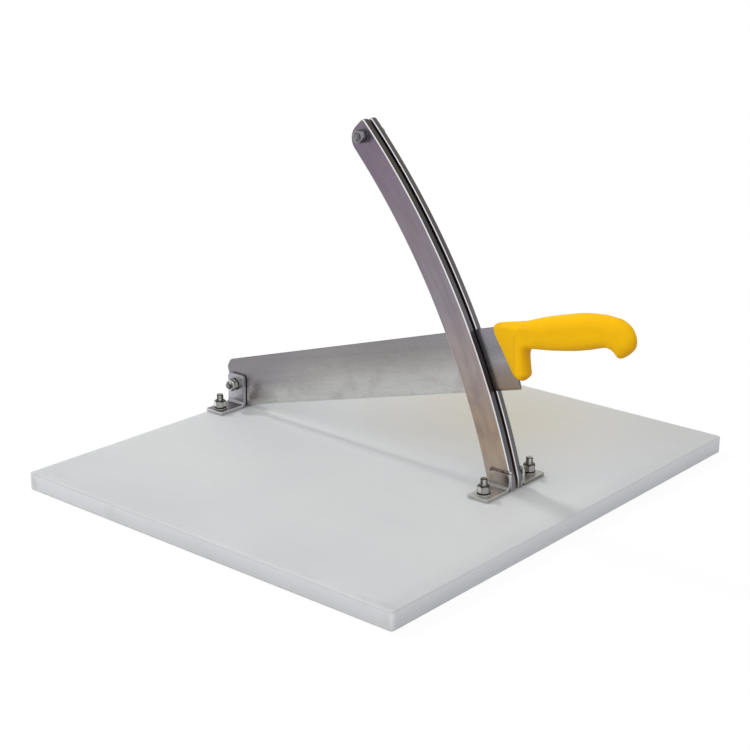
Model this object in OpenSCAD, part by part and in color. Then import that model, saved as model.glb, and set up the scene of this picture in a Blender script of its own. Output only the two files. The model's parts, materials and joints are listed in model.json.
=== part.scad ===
// Cheese rind cutter: a hinged knife that swings down between two curved guide bars
// on a thick cutting board. Sizes are in millimetres. The origin is the middle of the
// board's underside, +X runs from the hinge to the handle, +Y across the board, +Z up.

/* [Board] */
// Length of the board, from the hinge edge to the handle edge
board_length = 505; // [470:5:700]
// Width of the board, across the blade
board_width = 600; // [300:10:800]
// Thickness of the board
board_thick = 20; // [16:1:40]
// Radius of the four upright corners
board_corner = 4; // [3:0.5:20]
// Softening of the edges round the top and the underside
board_edge = 2; // [0.5:0.5:3]
// Distance of the blade's plane from the middle of the board
blade_offset = 7.8; // [-50:0.1:50]

/* [Blade] */
// Thickness of the blade
blade_thick = 2.5; // [1.5:0.1:4]
// Height of the blade at its tip, from edge to spine
blade_tip_height = 57.4; // [50:0.2:70]
// Height of the blade at its heel, from edge to spine
blade_heel_height = 67.8; // [60:0.2:80]
// Height of the pivot above the cutting edge
edge_drop = 28; // [24:0.2:32]
// Length of the tip behind the pivot
tip_length = 13.2; // [10:0.2:20]
// Size of the cut-off corner at the top of the tip
tip_cut = 7.5; // [2:0.5:12]
// Height of the ground bevel along the edge
bevel_height = 3; // [2:0.5:12]
// Thickness left at the cutting edge
edge_thick = 0.4; // [0.2:0.1:1]
// Gap between the closed edge and the board
edge_clear = 0.3; // [0.2:0.1:2]
// Angle of the knife above closed in the modelled pose
rest_angle = 15.3; // [0:0.1:45]

/* [Handle] */
// Length of the handle
handle_length = 166; // [150:1:200]
// Thickness of the grip
grip_thick = 25; // [20:0.5:34]
// Thickness of the bolster and the guard
bolster_thick = 20; // [14:0.5:26]
// Height of the grip at its fullest
grip_height = 37.4; // [34:0.2:44]
// Rise of the grip above the bolster
grip_crown = 2; // [0.5:0.1:5]
// Step from the blade's spine up to the bolster
bolster_step = 4; // [2:0.1:6]
// Drop of the finger guard below the grip
guard_drop = 27.2; // [18:0.2:32]
// Drop of the end hook below the grip
hook_drop = 10.8; // [4:0.2:16]
// Gap between the guide and the closed handle
handle_gap = 5; // [3:0.5:15]
// Length of the hidden tang behind the heel
tang_length = 95; // [40:1:110]
// Height of the hidden tang
tang_height = 15; // [10:0.5:18]

/* [Guide] */
// Distance from the pivot to the foot of the guide
guide_reach = 395.5; // [360:0.5:430]
// Lean of the guide at the board, away from upright
guide_lean = 15.7; // [12:0.1:20]
// Radius of the guide's curve at the middle of a bar
guide_radius = 838.5; // [700:0.5:1200]
// Length of the guide along its curve, from the board to its top end
guide_length = 418.5; // [320:0.5:440]
// Distance of the top bolt from the top end
top_bolt_inset = 14.5; // [11:0.5:25]
// Distance of the top bolt outwards from the middle of a bar
top_bolt_shift = 3.5; // [0:0.5:5]
// Radius of the bar's top corner towards the hinge
top_inner_radius = 17.5; // [4:0.5:18]
// Radius of the bar's top corner towards the handle
top_outer_radius = 4; // [1:0.5:8]
// Width of a guide bar
bar_width = 31.5; // [28:0.5:40]
// Thickness of a guide bar
bar_thick = 8.4; // [5:0.1:12]
// Chamfer along the edges of a guide bar
bar_chamfer = 1.3; // [0.5:0.1:2]
// Play between the blade and each guide bar
blade_play = 1.05; // [0.5:0.05:2]
// Outer diameter of the spacer between the bars
spacer_d = 14; // [12:0.5:20]

/* [Brackets] */
// Plate thickness of the angle brackets
plate_thick = 4; // [3:0.5:6]
// Width of the angle brackets
bracket_width = 26; // [22:0.5:36]
// Length of a bracket's foot, from the inside face of its leg
foot_length = 42; // [38:0.5:60]
// Distance of the bolt hole from the end of a foot
hole_inset = 11.5; // [9:0.5:14]
// Height of the hinge bracket above the pivot
pivot_cover = 11.7; // [9:0.1:20]
// Height of the guide foot's leg
guide_leg = 20; // [16:0.5:40]
// Radius of the plate corners
plate_corner = 3; // [1:0.5:5]
// Inside radius of the bend
bend_radius = 4; // [1:0.5:5]
// Size of the weld bead
weld_size = 3; // [1.5:0.1:4]

/* [Fasteners] */
// Diameter of the bolts
thread_d = 8; // [6:0.5:10]
// Width of nuts and bolt heads across their flats
hex_width = 13; // [11.5:0.5:16]
// Height of a nut
nut_height = 8; // [5:0.1:10]
// Height of a bolt head
head_height = 5.3; // [4:0.1:7]
// Outer diameter of a washer
washer_d = 16; // [14:0.5:18]
// Thickness of a washer
washer_thick = 2.4; // [1:0.1:3]
// Length of a foot bolt that shows above its nut
foot_bolt_show = 7.4; // [3:0.1:14]
// Length of the pivot bolt that shows beyond its nut
pivot_bolt_show = 3; // [2:0.1:14]
// Length of the guide bolt that shows beyond its nut
guide_bolt_show = 3; // [2:0.1:14]
// Play between a bolt and a drilled hole, all round
hole_play = 0.5; // [0.2:0.1:1]
// Running clearance between the pivot bolt and the blade, all round
pivot_play = 0.05; // [0.02:0.01:0.1]
// Gap between a nut or washer and its bolt, all round
thread_play = 0.05; // [0.02:0.01:0.2]
// Gap between a shim and the blade
shim_play = 0.05; // [0.02:0.01:0.2]
// Cover between a sunk bolt head and the board's underside
recess_cover = 1.1; // [0.5:0.1:3]
// Play between a washer and its recess, all round
recess_play = 1.5; // [0.5:0.1:3]

/* [Hidden] */
$fn = 96;
// A cut reaches this far past the surface that it opens
past = 1;
slot_width = blade_thick + 2 * blade_play;
shim_thick = blade_play - shim_play;
thread_r = thread_d / 2;
hole_r = thread_r + hole_play;
washer_bore_r = thread_r + thread_play;
thread_chamfer = thread_r / 5;
hex_chamfer = hex_width / 15;

// Hinge
pivot_height = edge_drop + edge_clear;
pivot_x = -board_length / 2 + bracket_width / 2;
pivot_z = board_thick + pivot_height;
hinge_leg = pivot_height + pivot_cover;

// Guide arc, with its centre below and behind the board
guide_x = pivot_x + guide_reach;
arc_x = guide_x - guide_radius * cos(guide_lean);
arc_z = board_thick - guide_radius * sin(guide_lean);
guide_angle = guide_length / guide_radius * 180 / PI;
guide_top_angle = guide_lean + guide_angle;
top_bolt_r = guide_radius + top_bolt_shift;
guide_top_x = arc_x + top_bolt_r * cos(guide_top_angle) + top_bolt_inset * sin(guide_top_angle);
guide_top_z = arc_z + top_bolt_r * sin(guide_top_angle) - top_bolt_inset * cos(guide_top_angle);
// A bar starts half its width below the board's top, where it is cut off level
bar_sweep = (guide_length + bar_width / 2) / guide_radius * 180 / PI;
arc_sides = 720;
guide_inner_r = guide_radius - bar_width / 2;
guide_outer_r = guide_radius + bar_width / 2;
function guide_front(z) = arc_x + sqrt(pow(guide_outer_r, 2) - pow(z - arc_z, 2));

// Side-to-side stack, measured from the blade's plane
hinge_face = slot_width / 2;
guide_face = hinge_face + bar_thick;
hinge_stack = hinge_face + plate_thick;
rear_hole = hinge_face + foot_length - hole_inset;
front_hole = guide_face + foot_length - hole_inset;

// Bolt lengths under the head
recess_depth = recess_cover + head_height + washer_thick;
pivot_bolt_length = 2 * (hinge_stack + washer_thick) + nut_height + pivot_bolt_show;
guide_bolt_length = 2 * (guide_face + washer_thick) + nut_height + guide_bolt_show;
foot_bolt_length = board_thick - recess_depth + plate_thick + 2 * washer_thick + nut_height + foot_bolt_show;

// Knife, in its own frame: along the cutting edge from the pivot, and up from the pivot
spine_tip = blade_tip_height - edge_drop;
spine_heel = blade_heel_height - edge_drop;
handle_top = spine_heel + bolster_step;
grip_low = handle_top + grip_crown - grip_height;
guard_low = grip_low - guard_drop;
hook_low = grip_low - hook_drop;
nose_low = spine_heel - 2 * bolster_step;
nose_high = spine_heel + bolster_step / 2;
// The bolster's front follows the front of the guide bars when the knife is down
function bolster_front(w) = guide_front(pivot_z + w) - pivot_x + handle_gap;
nose = bolster_front(nose_low);
heel = bolster_front(-edge_drop);
guard_front = bolster_front(guard_low);
handle_end = nose + handle_length;
tang_middle = (grip_low + handle_top) / 2 + grip_crown;
tang_top = tang_middle + tang_height / 2;
tang_low = tang_middle - tang_height / 2;
tang_end = heel + tang_length;
tang_shoulder = nose + bolster_step;

// Stations of the handle from nose to end: distance along the edge, underside, top, half thickness
function along(part) = nose + part * handle_length;
guard_middle = guard_front + 0.045 * handle_length;
guard_back = guard_front + 0.099 * handle_length;
finger_front = guard_back + 0.03 * handle_length;
waist = finger_front + 0.027 * handle_length;
grip_half = grip_thick / 2;
bolster_half = bolster_thick / 2;
// From the guard to the waist the top falls evenly
function waist_top(u) = handle_top - bolster_step / 5 * (u - guard_front) / (waist - guard_front);
function waist_row(u, low) = [u, low, waist_top(u), bolster_half];
handle_stations = [
    [nose, nose_low, nose_high, 0.35 * bolster_half],
    [bolster_front(nose_low / 2), nose_low / 2, handle_top, 0.55 * bolster_half],
    [bolster_front(guard_low / 2), guard_low / 2, handle_top, 0.75 * bolster_half],
    [guard_front, guard_low + 0.18 * guard_drop, handle_top, 0.9 * bolster_half],
    waist_row(guard_middle, guard_low),
    waist_row(guard_back - 0.028 * handle_length, guard_low + 0.05 * guard_drop),
    waist_row(guard_back, guard_low + 0.17 * guard_drop),
    waist_row(guard_back + 0.006 * handle_length, grip_low - 0.55 * guard_drop),
    waist_row(guard_back + 0.011 * handle_length, grip_low - 0.33 * guard_drop),
    waist_row(finger_front - 0.014 * handle_length, grip_low - 0.09 * guard_drop),
    waist_row(finger_front, grip_low + 0.08 * grip_height),
    waist_row(waist, grip_low + 0.14 * grip_height),
    [along(0.4), grip_low + 0.06 * grip_height, handle_top + 0.7 * grip_crown, 0.94 * grip_half],
    [along(0.57), grip_low, handle_top + grip_crown, grip_half],
    [along(0.68), grip_low, handle_top + 0.8 * grip_crown, 0.98 * grip_half],
    [along(0.79), grip_low + 0.02 * grip_height, handle_top - 0.03 * grip_height, 0.94 * grip_half],
    [along(0.84), grip_low - 0.3 * hook_drop, handle_top - 0.08 * grip_height, 0.92 * grip_half],
    [along(0.87), hook_low, handle_top - 0.13 * grip_height, 0.88 * grip_half],
    [along(0.92), hook_low + 0.14 * hook_drop, handle_top - 0.21 * grip_height, 0.82 * grip_half],
    [along(0.962), grip_low - 0.5 * hook_drop, handle_top - 0.35 * grip_height, 0.66 * grip_half],
    [along(0.985), grip_low - 0.19 * hook_drop, handle_top - 0.48 * grip_height, 0.46 * grip_half],
    [handle_end, grip_low + 0.11 * grip_height, handle_top - 0.68 * grip_height, 0.2 * grip_half]
];
ring_sides = 20;
rings_per_station = 3;
ring_squareness = 0.84;

// Foot bolts: name, place along the board, side of the blade, distance from the blade
foot_places = [
    ["rear_left", pivot_x, -1, rear_hole],
    ["rear_right", pivot_x, 1, rear_hole],
    ["front_left", guide_x, -1, front_hole],
    ["front_right", guide_x, 1, front_hole]
];
sides = [["left", -1], ["right", 1]];
pair_nodes = [
    "hinge_bracket", "pivot_washer", "pivot_shim",
    "guide_bar", "guide_foot", "guide_weld", "guide_washer"
];
foot_nodes = ["foot_bolt", "foot_washer", "foot_nut", "foot_head_washer"];

// Frames
// Extrudes a (Y, Z) outline along +X
module along_x(length) {
    rotate([90, 0, 90])
        linear_extrude(length)
            children();
}

// Extrudes an (X, Z) outline evenly to both sides of Y = 0
module across_y(width) {
    rotate([90, 0, 0])
        linear_extrude(width, center = true)
            children();
}

// Places what is drawn on the +Y side on either side of the blade's plane
module on_side(direction) {
    translate([0, blade_offset, 0])
        if (direction < 0)
            mirror([0, 1, 0])
                children();
        else
            children();
}

// Lays what stands along +Z so that it points along -Y, at a distance from the blade's plane
module laid_bolt(x, y, z) {
    translate([x, blade_offset + y, z])
        rotate([90, 0, 0])
            children();
}

module knife_frame() {
    translate([pivot_x, blade_offset, pivot_z])
        rotate([0, -rest_angle, 0])
            children();
}

module at_foot(place, z) {
    translate([place[1], blade_offset + place[2] * place[3], z])
        children();
}

// Fasteners
module hexagon(height) {
    corner_r = hex_width / 2 / cos(30);
    intersection() {
        cylinder(h = height, r = corner_r, $fn = 6);
        rotate_extrude()
            polygon([
                [0, 0],
                [corner_r - hex_chamfer, 0],
                [corner_r, hex_chamfer],
                [corner_r, height - hex_chamfer],
                [corner_r - hex_chamfer, height],
                [0, height]
            ]);
    }
}

module bolt(length) {
    translate([0, 0, -head_height])
        hexagon(head_height);
    cylinder(h = length - thread_chamfer, r = thread_r);
    translate([0, 0, length - thread_chamfer])
        cylinder(h = thread_chamfer, r1 = thread_r, r2 = thread_r - thread_chamfer);
}

module ring(outer_d, bore_r, height) {
    difference() {
        cylinder(h = height, d = outer_d);
        translate([0, 0, -past])
            cylinder(h = height + 2 * past, r = bore_r);
    }
}

module nut() {
    difference() {
        hexagon(nut_height);
        translate([0, 0, -past])
            cylinder(h = nut_height + 2 * past, r = washer_bore_r);
    }
}

module washer() {
    ring(washer_d, washer_bore_r, washer_thick);
}

// Board
module slab_section(length) {
    half = length / 2;
    polygon([
        [-half + board_edge, 0],
        [half - board_edge, 0],
        [half, board_edge],
        [half, board_thick - board_edge],
        [half - board_edge, board_thick],
        [-half + board_edge, board_thick],
        [-half, board_thick - board_edge],
        [-half, board_edge]
    ]);
}

module board_plan() {
    long = board_length - 2 * board_corner;
    wide = board_width - 2 * board_corner;
    square([long, board_width], center = true);
    square([board_length, wide], center = true);
    for (x = [-1, 1], y = [-1, 1])
        translate([x * long / 2, y * wide / 2])
            circle(board_corner);
}

module cutting_board() {
    color("whitesmoke")
        difference() {
            intersection() {
                linear_extrude(board_thick)
                    board_plan();
                translate([-board_length / 2, 0, 0])
                    along_x(board_length)
                        slab_section(board_width);
                across_y(board_width)
                    slab_section(board_length);
            }
            for (place = foot_places) {
                at_foot(place, -past)
                    cylinder(h = board_thick + 2 * past, r = hole_r);
                at_foot(place, -past)
                    cylinder(h = recess_depth + past, r = washer_d / 2 + recess_play);
            }
        }
}

// Angle brackets, drawn with the leg's inside face at Y = 0 and the foot towards +Y
module bracket_section(leg) {
    bend_outer = bend_radius + plate_thick;
    difference() {
        union() {
            square([foot_length, plate_thick]);
            square([plate_thick, leg]);
            translate([plate_thick, plate_thick])
                bend_corner(bend_radius);
        }
        bend_corner(bend_outer);
    }
}

// The part of a square corner that a rounding of this radius leaves over
module bend_corner(radius) {
    difference() {
        square(radius);
        translate([radius, radius])
            circle(radius);
    }
}

// Plate outline with its two far corners rounded
module plate_outline(length) {
    straight = bracket_width - 2 * plate_corner;
    translate([-bracket_width / 2, 0])
        square([bracket_width, length - plate_corner]);
    translate([-straight / 2, 0])
        square([straight, length]);
    for (x = [-1, 1])
        translate([x * straight / 2, length - plate_corner])
            circle(plate_corner);
}

module angle_bracket(leg) {
    difference() {
        intersection() {
            translate([-bracket_width / 2, 0, 0])
                along_x(bracket_width)
                    bracket_section(leg);
            linear_extrude(leg)
                plate_outline(foot_length);
            across_y(2 * foot_length)
                plate_outline(leg);
        }
        translate([0, foot_length - hole_inset, -past])
            cylinder(h = plate_thick + 2 * past, r = hole_r);
    }
}

module hinge_bracket(direction) {
    color("gray")
        on_side(direction)
            translate([pivot_x, hinge_face, board_thick])
                difference() {
                    angle_bracket(hinge_leg);
                    translate([0, plate_thick + past, pivot_height])
                        rotate([90, 0, 0])
                            cylinder(h = plate_thick + 2 * past, r = hole_r);
                }
}

module guide_foot(direction) {
    color("gray")
        on_side(direction)
            translate([guide_x, guide_face, board_thick])
                angle_bracket(guide_leg);
}

// Guide
module bar_section() {
    edge = bar_width / 2;
    face = bar_thick / 2;
    polygon([
        [-edge, bar_chamfer - face],
        [bar_chamfer - edge, -face],
        [edge - bar_chamfer, -face],
        [edge, bar_chamfer - face],
        [edge, face - bar_chamfer],
        [edge - bar_chamfer, face],
        [bar_chamfer - edge, face],
        [-edge, face - bar_chamfer]
    ]);
}

// What rounding takes off a bar's top corner; its circle touches the bar's edge and end
module top_corner(edge_r, radius, direction) {
    middle_r = edge_r - direction * radius;
    translate([sqrt(pow(middle_r, 2) - pow(radius, 2)), -radius, -bar_thick])
        linear_extrude(2 * bar_thick)
            difference() {
                translate([direction < 0 ? -radius - past : 0, 0])
                    square(radius + past);
                circle(radius);
            }
}

// A bar in the frame of its arc, with its top end at angle 0
module bar_blank() {
    difference() {
        mirror([0, 1, 0])
            rotate_extrude(angle = bar_sweep, $fn = arc_sides)
                translate([guide_radius, 0])
                    bar_section();
        top_corner(guide_inner_r, top_inner_radius, -1);
        top_corner(guide_outer_r, top_outer_radius, 1);
        translate([top_bolt_r, -top_bolt_inset, -bar_thick])
            cylinder(h = 2 * bar_thick, r = hole_r);
    }
}

// The bar is cut off level with the board, and its front is trimmed flush with its foot
module guide_bar(direction) {
    color("dimgray")
        on_side(direction)
            translate([0, hinge_face + bar_thick / 2, 0])
                difference() {
                    translate([arc_x, 0, arc_z])
                        rotate([90, 0, 0])
                            rotate([0, 0, guide_top_angle])
                                bar_blank();
                    translate([guide_x - bar_width, -bar_thick, 0])
                        cube([2 * bar_width, 2 * bar_thick, board_thick]);
                    translate([guide_x + bracket_width / 2, -bar_thick, 0])
                        cube([bar_width, 2 * bar_thick, board_thick + guide_leg]);
                }
}

module guide_weld(direction) {
    length = bracket_width - 2 * plate_corner;
    color("dimgray")
        on_side(direction)
            translate([guide_x - length / 2, guide_face, board_thick + guide_leg])
                along_x(length)
                    intersection() {
                        circle(weld_size);
                        square(weld_size);
                    }
}

module guide_spacer() {
    color("silver")
        laid_bolt(guide_top_x, slot_width / 2, guide_top_z)
            ring(spacer_d, washer_bore_r, slot_width);
}

module guide_bolt() {
    color("silver")
        laid_bolt(guide_top_x, guide_face + washer_thick, guide_top_z)
            bolt(guide_bolt_length);
}

module guide_nut() {
    color("silver")
        laid_bolt(guide_top_x, -guide_face - washer_thick, guide_top_z)
            nut();
}

module guide_washer(direction) {
    color("silver")
        on_side(direction)
            translate([guide_top_x, guide_face + washer_thick, guide_top_z])
                rotate([90, 0, 0])
                    washer();
}

// Hinge
module pivot_bolt() {
    color("silver")
        laid_bolt(pivot_x, hinge_stack + washer_thick, pivot_z)
            bolt(pivot_bolt_length);
}

module pivot_nut() {
    color("silver")
        laid_bolt(pivot_x, -hinge_stack - washer_thick, pivot_z)
            nut();
}

module pivot_washer(direction) {
    color("silver")
        on_side(direction)
            translate([pivot_x, hinge_stack + washer_thick, pivot_z])
                rotate([90, 0, 0])
                    washer();
}

module pivot_shim(direction) {
    color("silver")
        on_side(direction)
            translate([pivot_x, hinge_face, pivot_z])
                rotate([90, 0, 0])
                    ring(washer_d, washer_bore_r, shim_thick);
}

// Foot fasteners
module foot_bolt(place) {
    color("silver")
        at_foot(place, recess_depth - washer_thick)
            bolt(foot_bolt_length);
}

module foot_head_washer(place) {
    color("silver")
        at_foot(place, recess_depth - washer_thick)
            washer();
}

module foot_washer(place) {
    color("silver")
        at_foot(place, board_thick + plate_thick)
            washer();
}

module foot_nut(place) {
    color("silver")
        at_foot(place, board_thick + plate_thick + washer_thick)
            nut();
}

// Knife
// Outline of the blade and its tang; the lower tip corner is round about the pivot
module blade_outline() {
    polygon([
        [0, -edge_drop],
        [heel, -edge_drop],
        [heel, tang_low],
        [tang_end, tang_low],
        [tang_end, tang_top],
        [tang_shoulder, tang_top],
        [tang_shoulder, spine_heel],
        [tip_cut - tip_length, spine_tip],
        [-tip_length, spine_tip - tip_cut],
        [-tip_length, 0],
        [0, 0]
    ]);
    intersection() {
        circle(edge_drop);
        translate([-tip_length, -edge_drop])
            square([tip_length, edge_drop]);
    }
}

// Cross-section of the blade, thinned to the edge by a bevel on both sides
module blade_section() {
    side = blade_thick / 2;
    tip = edge_thick / 2;
    top = max(spine_tip, spine_heel, tang_top);
    polygon([
        [-tip, -edge_drop],
        [tip, -edge_drop],
        [side, bevel_height - edge_drop],
        [side, top],
        [-side, top],
        [-side, bevel_height - edge_drop]
    ]);
}

module blade() {
    color("darkgray")
        knife_frame()
            difference() {
                intersection() {
                    across_y(blade_thick)
                        blade_outline();
                    translate([-tip_length, 0, 0])
                        along_x(tip_length + tang_end)
                            blade_section();
                }
                rotate([90, 0, 0])
                    cylinder(h = 2 * blade_thick, r = thread_r + pivot_play, center = true);
            }
}

// Smooth curve through four stations, from the second to the third
function station_blend(a, b, c, d, t) =
    (2 * b + (c - a) * t + (2 * a - 5 * b + 4 * c - d) * t * t + (3 * b - a - 3 * c + d) * t * t * t) / 2;
function station(i) = handle_stations[max(0, min(len(handle_stations) - 1, i))];
function signed_power(value, power) = sign(value) * pow(abs(value), power);
function ring_point(row, angle) = [
    row[0],
    row[3] * signed_power(cos(angle), ring_squareness),
    (row[1] + row[2]) / 2 + (row[2] - row[1]) / 2 * signed_power(sin(angle), ring_squareness)
];

module handle_body() {
    last = len(handle_stations) - 1;
    rows = concat(
        [for (i = [0 : last - 1], k = [0 : rings_per_station - 1])
            station_blend(station(i - 1), station(i), station(i + 1), station(i + 2), k / rings_per_station)],
        [handle_stations[last]]
    );
    points = [for (row = rows, j = [0 : ring_sides - 1]) ring_point(row, 360 * j / ring_sides)];
    top_row = len(rows) - 1;
    walls = [for (i = [0 : top_row - 1], j = [0 : ring_sides - 1])
        let (a = i * ring_sides + j, b = i * ring_sides + (j + 1) % ring_sides)
            each [[a, a + ring_sides, b], [b, a + ring_sides, b + ring_sides]]];
    nose_face = [for (j = [0 : ring_sides - 1]) j];
    end_face = [for (j = [ring_sides - 1 : -1 : 0]) top_row * ring_sides + j];
    polyhedron(points, concat(walls, [nose_face, end_face]));
}

module handle() {
    color("gold")
        knife_frame()
            difference() {
                handle_body();
                across_y(blade_thick)
                    blade_outline();
            }
}

cutting_board();
blade();
handle();
pivot_bolt();
pivot_nut();
guide_bolt();
guide_nut();
guide_spacer();
for (side = sides) {
    hinge_bracket(side[1]);
    pivot_washer(side[1]);
    pivot_shim(side[1]);
    guide_bar(side[1]);
    guide_foot(side[1]);
    guide_weld(side[1]);
    guide_washer(side[1]);
}
for (place = foot_places) {
    foot_bolt(place);
    foot_washer(place);
    foot_nut(place);
    foot_head_washer(place);
}
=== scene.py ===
import json
import math
import bmesh
import bpy
import numpy as np
from mathutils import Matrix, Vector
from mathutils.geometry import delaunay_2d_cdt


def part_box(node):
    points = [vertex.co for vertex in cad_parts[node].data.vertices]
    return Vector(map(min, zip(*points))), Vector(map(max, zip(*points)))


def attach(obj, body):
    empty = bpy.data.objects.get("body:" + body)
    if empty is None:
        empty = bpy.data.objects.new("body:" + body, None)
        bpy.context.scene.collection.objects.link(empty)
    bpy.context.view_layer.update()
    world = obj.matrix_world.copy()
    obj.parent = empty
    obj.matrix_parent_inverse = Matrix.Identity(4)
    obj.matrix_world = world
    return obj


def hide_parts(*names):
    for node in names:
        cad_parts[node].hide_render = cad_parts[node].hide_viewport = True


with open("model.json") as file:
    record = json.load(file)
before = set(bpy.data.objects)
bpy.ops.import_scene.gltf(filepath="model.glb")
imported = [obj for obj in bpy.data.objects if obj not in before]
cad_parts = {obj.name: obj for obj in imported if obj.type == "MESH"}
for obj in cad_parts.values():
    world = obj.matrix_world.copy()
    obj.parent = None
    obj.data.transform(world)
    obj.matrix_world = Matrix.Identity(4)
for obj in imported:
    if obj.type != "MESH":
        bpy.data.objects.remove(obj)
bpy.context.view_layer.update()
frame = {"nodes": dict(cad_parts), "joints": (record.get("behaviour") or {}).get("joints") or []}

print("frame loaded,", len(frame["nodes"]), "solids")

mm = 0.001  # meshes are drawn in millimetres and stored in metres
mergeGap = 1e-7  # metres: nearer points are one
flatGap = 1e-6  # millimetres: the same in a flat fill
layout = {"bladeY": 7.8, "boardTop": 20, "guideX": 156, "slotHalf": 2.3}
sides = (("left", -1), ("right", 1))
places = ("rear_left", "rear_right", "front_left", "front_right")
joint = frame["joints"][0]
pivot = Vector(joint["pos_m"]) / mm
restAngle = math.radians(-joint["range_deg"][0])  # knife above closed
cosine, sine = math.cos(restAngle), math.sin(restAngle)


def knifePoint(u, w, y=0):  # u along the edge from the pivot, w up from it
    return Vector((pivot.x + u * cosine - w * sine, pivot.y + y, pivot.z + u * sine + w * cosine))


def knifeAxes(x, z):  # the way back to u and w, for numbers and fields
    ahead, above = x - pivot.x, z - pivot.z
    return ahead * cosine + above * sine, above * cosine - ahead * sine


def tint(colour):  # a screen colour of 0 to 255 as linear light; a field stays as it is
    if isinstance(colour, Field):
        return colour
    return (*(((value / 255 + 0.055) / 1.055) ** 2.4 for value in colour), 1.0)


# A socket that counts like a number; each sign adds a Math node
class Field:
    def __init__(self, graph, socket):
        self.graph = graph
        self.socket = socket

    def to(self, operation, *others):
        return self.graph.maths(operation, self, *others)

    def span(self, low, high):  # 0 at low, 1 at high, eased between
        settings = {"interpolation_type": "SMOOTHSTEP"}
        return self.graph.add("ShaderNodeMapRange", settings, {0: self, 1: low, 2: high})

    def __add__(self, other):
        return self.to("ADD", other)

    def __sub__(self, other):
        return self.to("SUBTRACT", other)

    def __rsub__(self, other):
        return self.graph.maths("SUBTRACT", other, self)

    def __mul__(self, other):
        return self.to("MULTIPLY", other)

    def __truediv__(self, other):
        return self.to("DIVIDE", other)

    __radd__, __rmul__ = __add__, __mul__


class Graph:
    def __init__(self, tree):
        self.tree = tree

    def add(self, kind, settings=None, inputs=None, output=0):
        node = self.tree.nodes.new(kind)
        for name, value in (settings or {}).items():
            if name == "stops":
                ramp = node.color_ramp
                while len(ramp.elements) < len(value):
                    ramp.elements.new(1.0)
                for element, (position, colour) in zip(ramp.elements, value):
                    element.position = position
                    element.color = colour
            else:
                setattr(node, name, value)
        for key, value in (inputs or {}).items():
            if isinstance(value, Field):
                self.tree.links.new(value.socket, node.inputs[key])
            else:
                node.inputs[key].default_value = value
        return Field(self, node.outputs[output]) if node.outputs else None

    def maths(self, operation, *numbers):
        return self.add("ShaderNodeMath", {"operation": operation}, dict(enumerate(numbers)))

    def spot(self):  # Object coordinates in millimetres
        place = self.add("ShaderNodeTexCoord", output="Object")
        return self.add("ShaderNodeVectorMath", {"operation": "SCALE"}, {0: place, "Scale": 1 / mm})

    def split(self, vector):
        node = self.add("ShaderNodeSeparateXYZ", {}, {0: vector}).socket.node
        return [Field(self, socket) for socket in node.outputs]

    def join(self, x, y, z):
        return self.add("ShaderNodeCombineXYZ", {}, {0: x, 1: y, 2: z})

    def noise(self, vector, size, detail):  # size is one blotch, in the vector's own unit
        inputs = {"Vector": vector, "Scale": 1 / size, "Detail": detail}
        return self.add("ShaderNodeTexNoise", {}, inputs)

    def mix(self, share, first, second):
        settings = {"data_type": "RGBA", "clamp_factor": True}
        return self.add("ShaderNodeMix", settings, {0: share, 6: tint(first), 7: tint(second)}, 2)

    def layers(self, base, *coats):  # each coat is a share and a colour, laid in turn
        for share, colour in coats:
            base = self.mix(share, base, colour)
        return base

    def ramp(self, value, *stops):
        stops = [(position, tint(colour)) for position, colour in stops]
        return self.add("ShaderNodeValToRGB", {"stops": stops}, {0: value})

    def attribute(self, name, kind="FLOAT"):  # in a tree of geometry
        settings = {"data_type": kind}
        return self.add("GeometryNodeInputNamedAttribute", settings, {"Name": name})

    def tone(self):  # the face value that a shell carries
        settings = {"attribute_type": "GEOMETRY", "attribute_name": "tone"}
        return self.add("ShaderNodeAttribute", settings, {}, "Fac")

    def coat(self, inputs, height, depth):  # depth of the bump in millimetres
        bump = {"Height": height, "Strength": 0.6, "Distance": depth * mm}
        inputs["Normal"] = self.add("ShaderNodeBump", {}, bump)
        shader = self.add("ShaderNodeBsdfPrincipled", {}, inputs)
        self.add("ShaderNodeOutputMaterial", {}, {"Surface": shader})

    def metal(self, base, rough, height, depth):
        self.coat({"Base Color": base, "Roughness": rough, "Metallic": 1.0}, height, depth)


def blankFinish(name):
    finish = bpy.data.materials.new(name)
    finish.use_nodes = True
    finish.node_tree.nodes.clear()
    return finish, Graph(finish.node_tree)


def newFinish(name):  # with the place on the piece, whole and as x, y, z
    finish, graph = blankFinish(name)
    spot = graph.spot()
    return finish, graph, spot, graph.split(spot)


def addObject(name, data):
    made = bpy.data.objects.new(name, data)
    bpy.context.scene.collection.objects.link(made)
    return made


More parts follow.
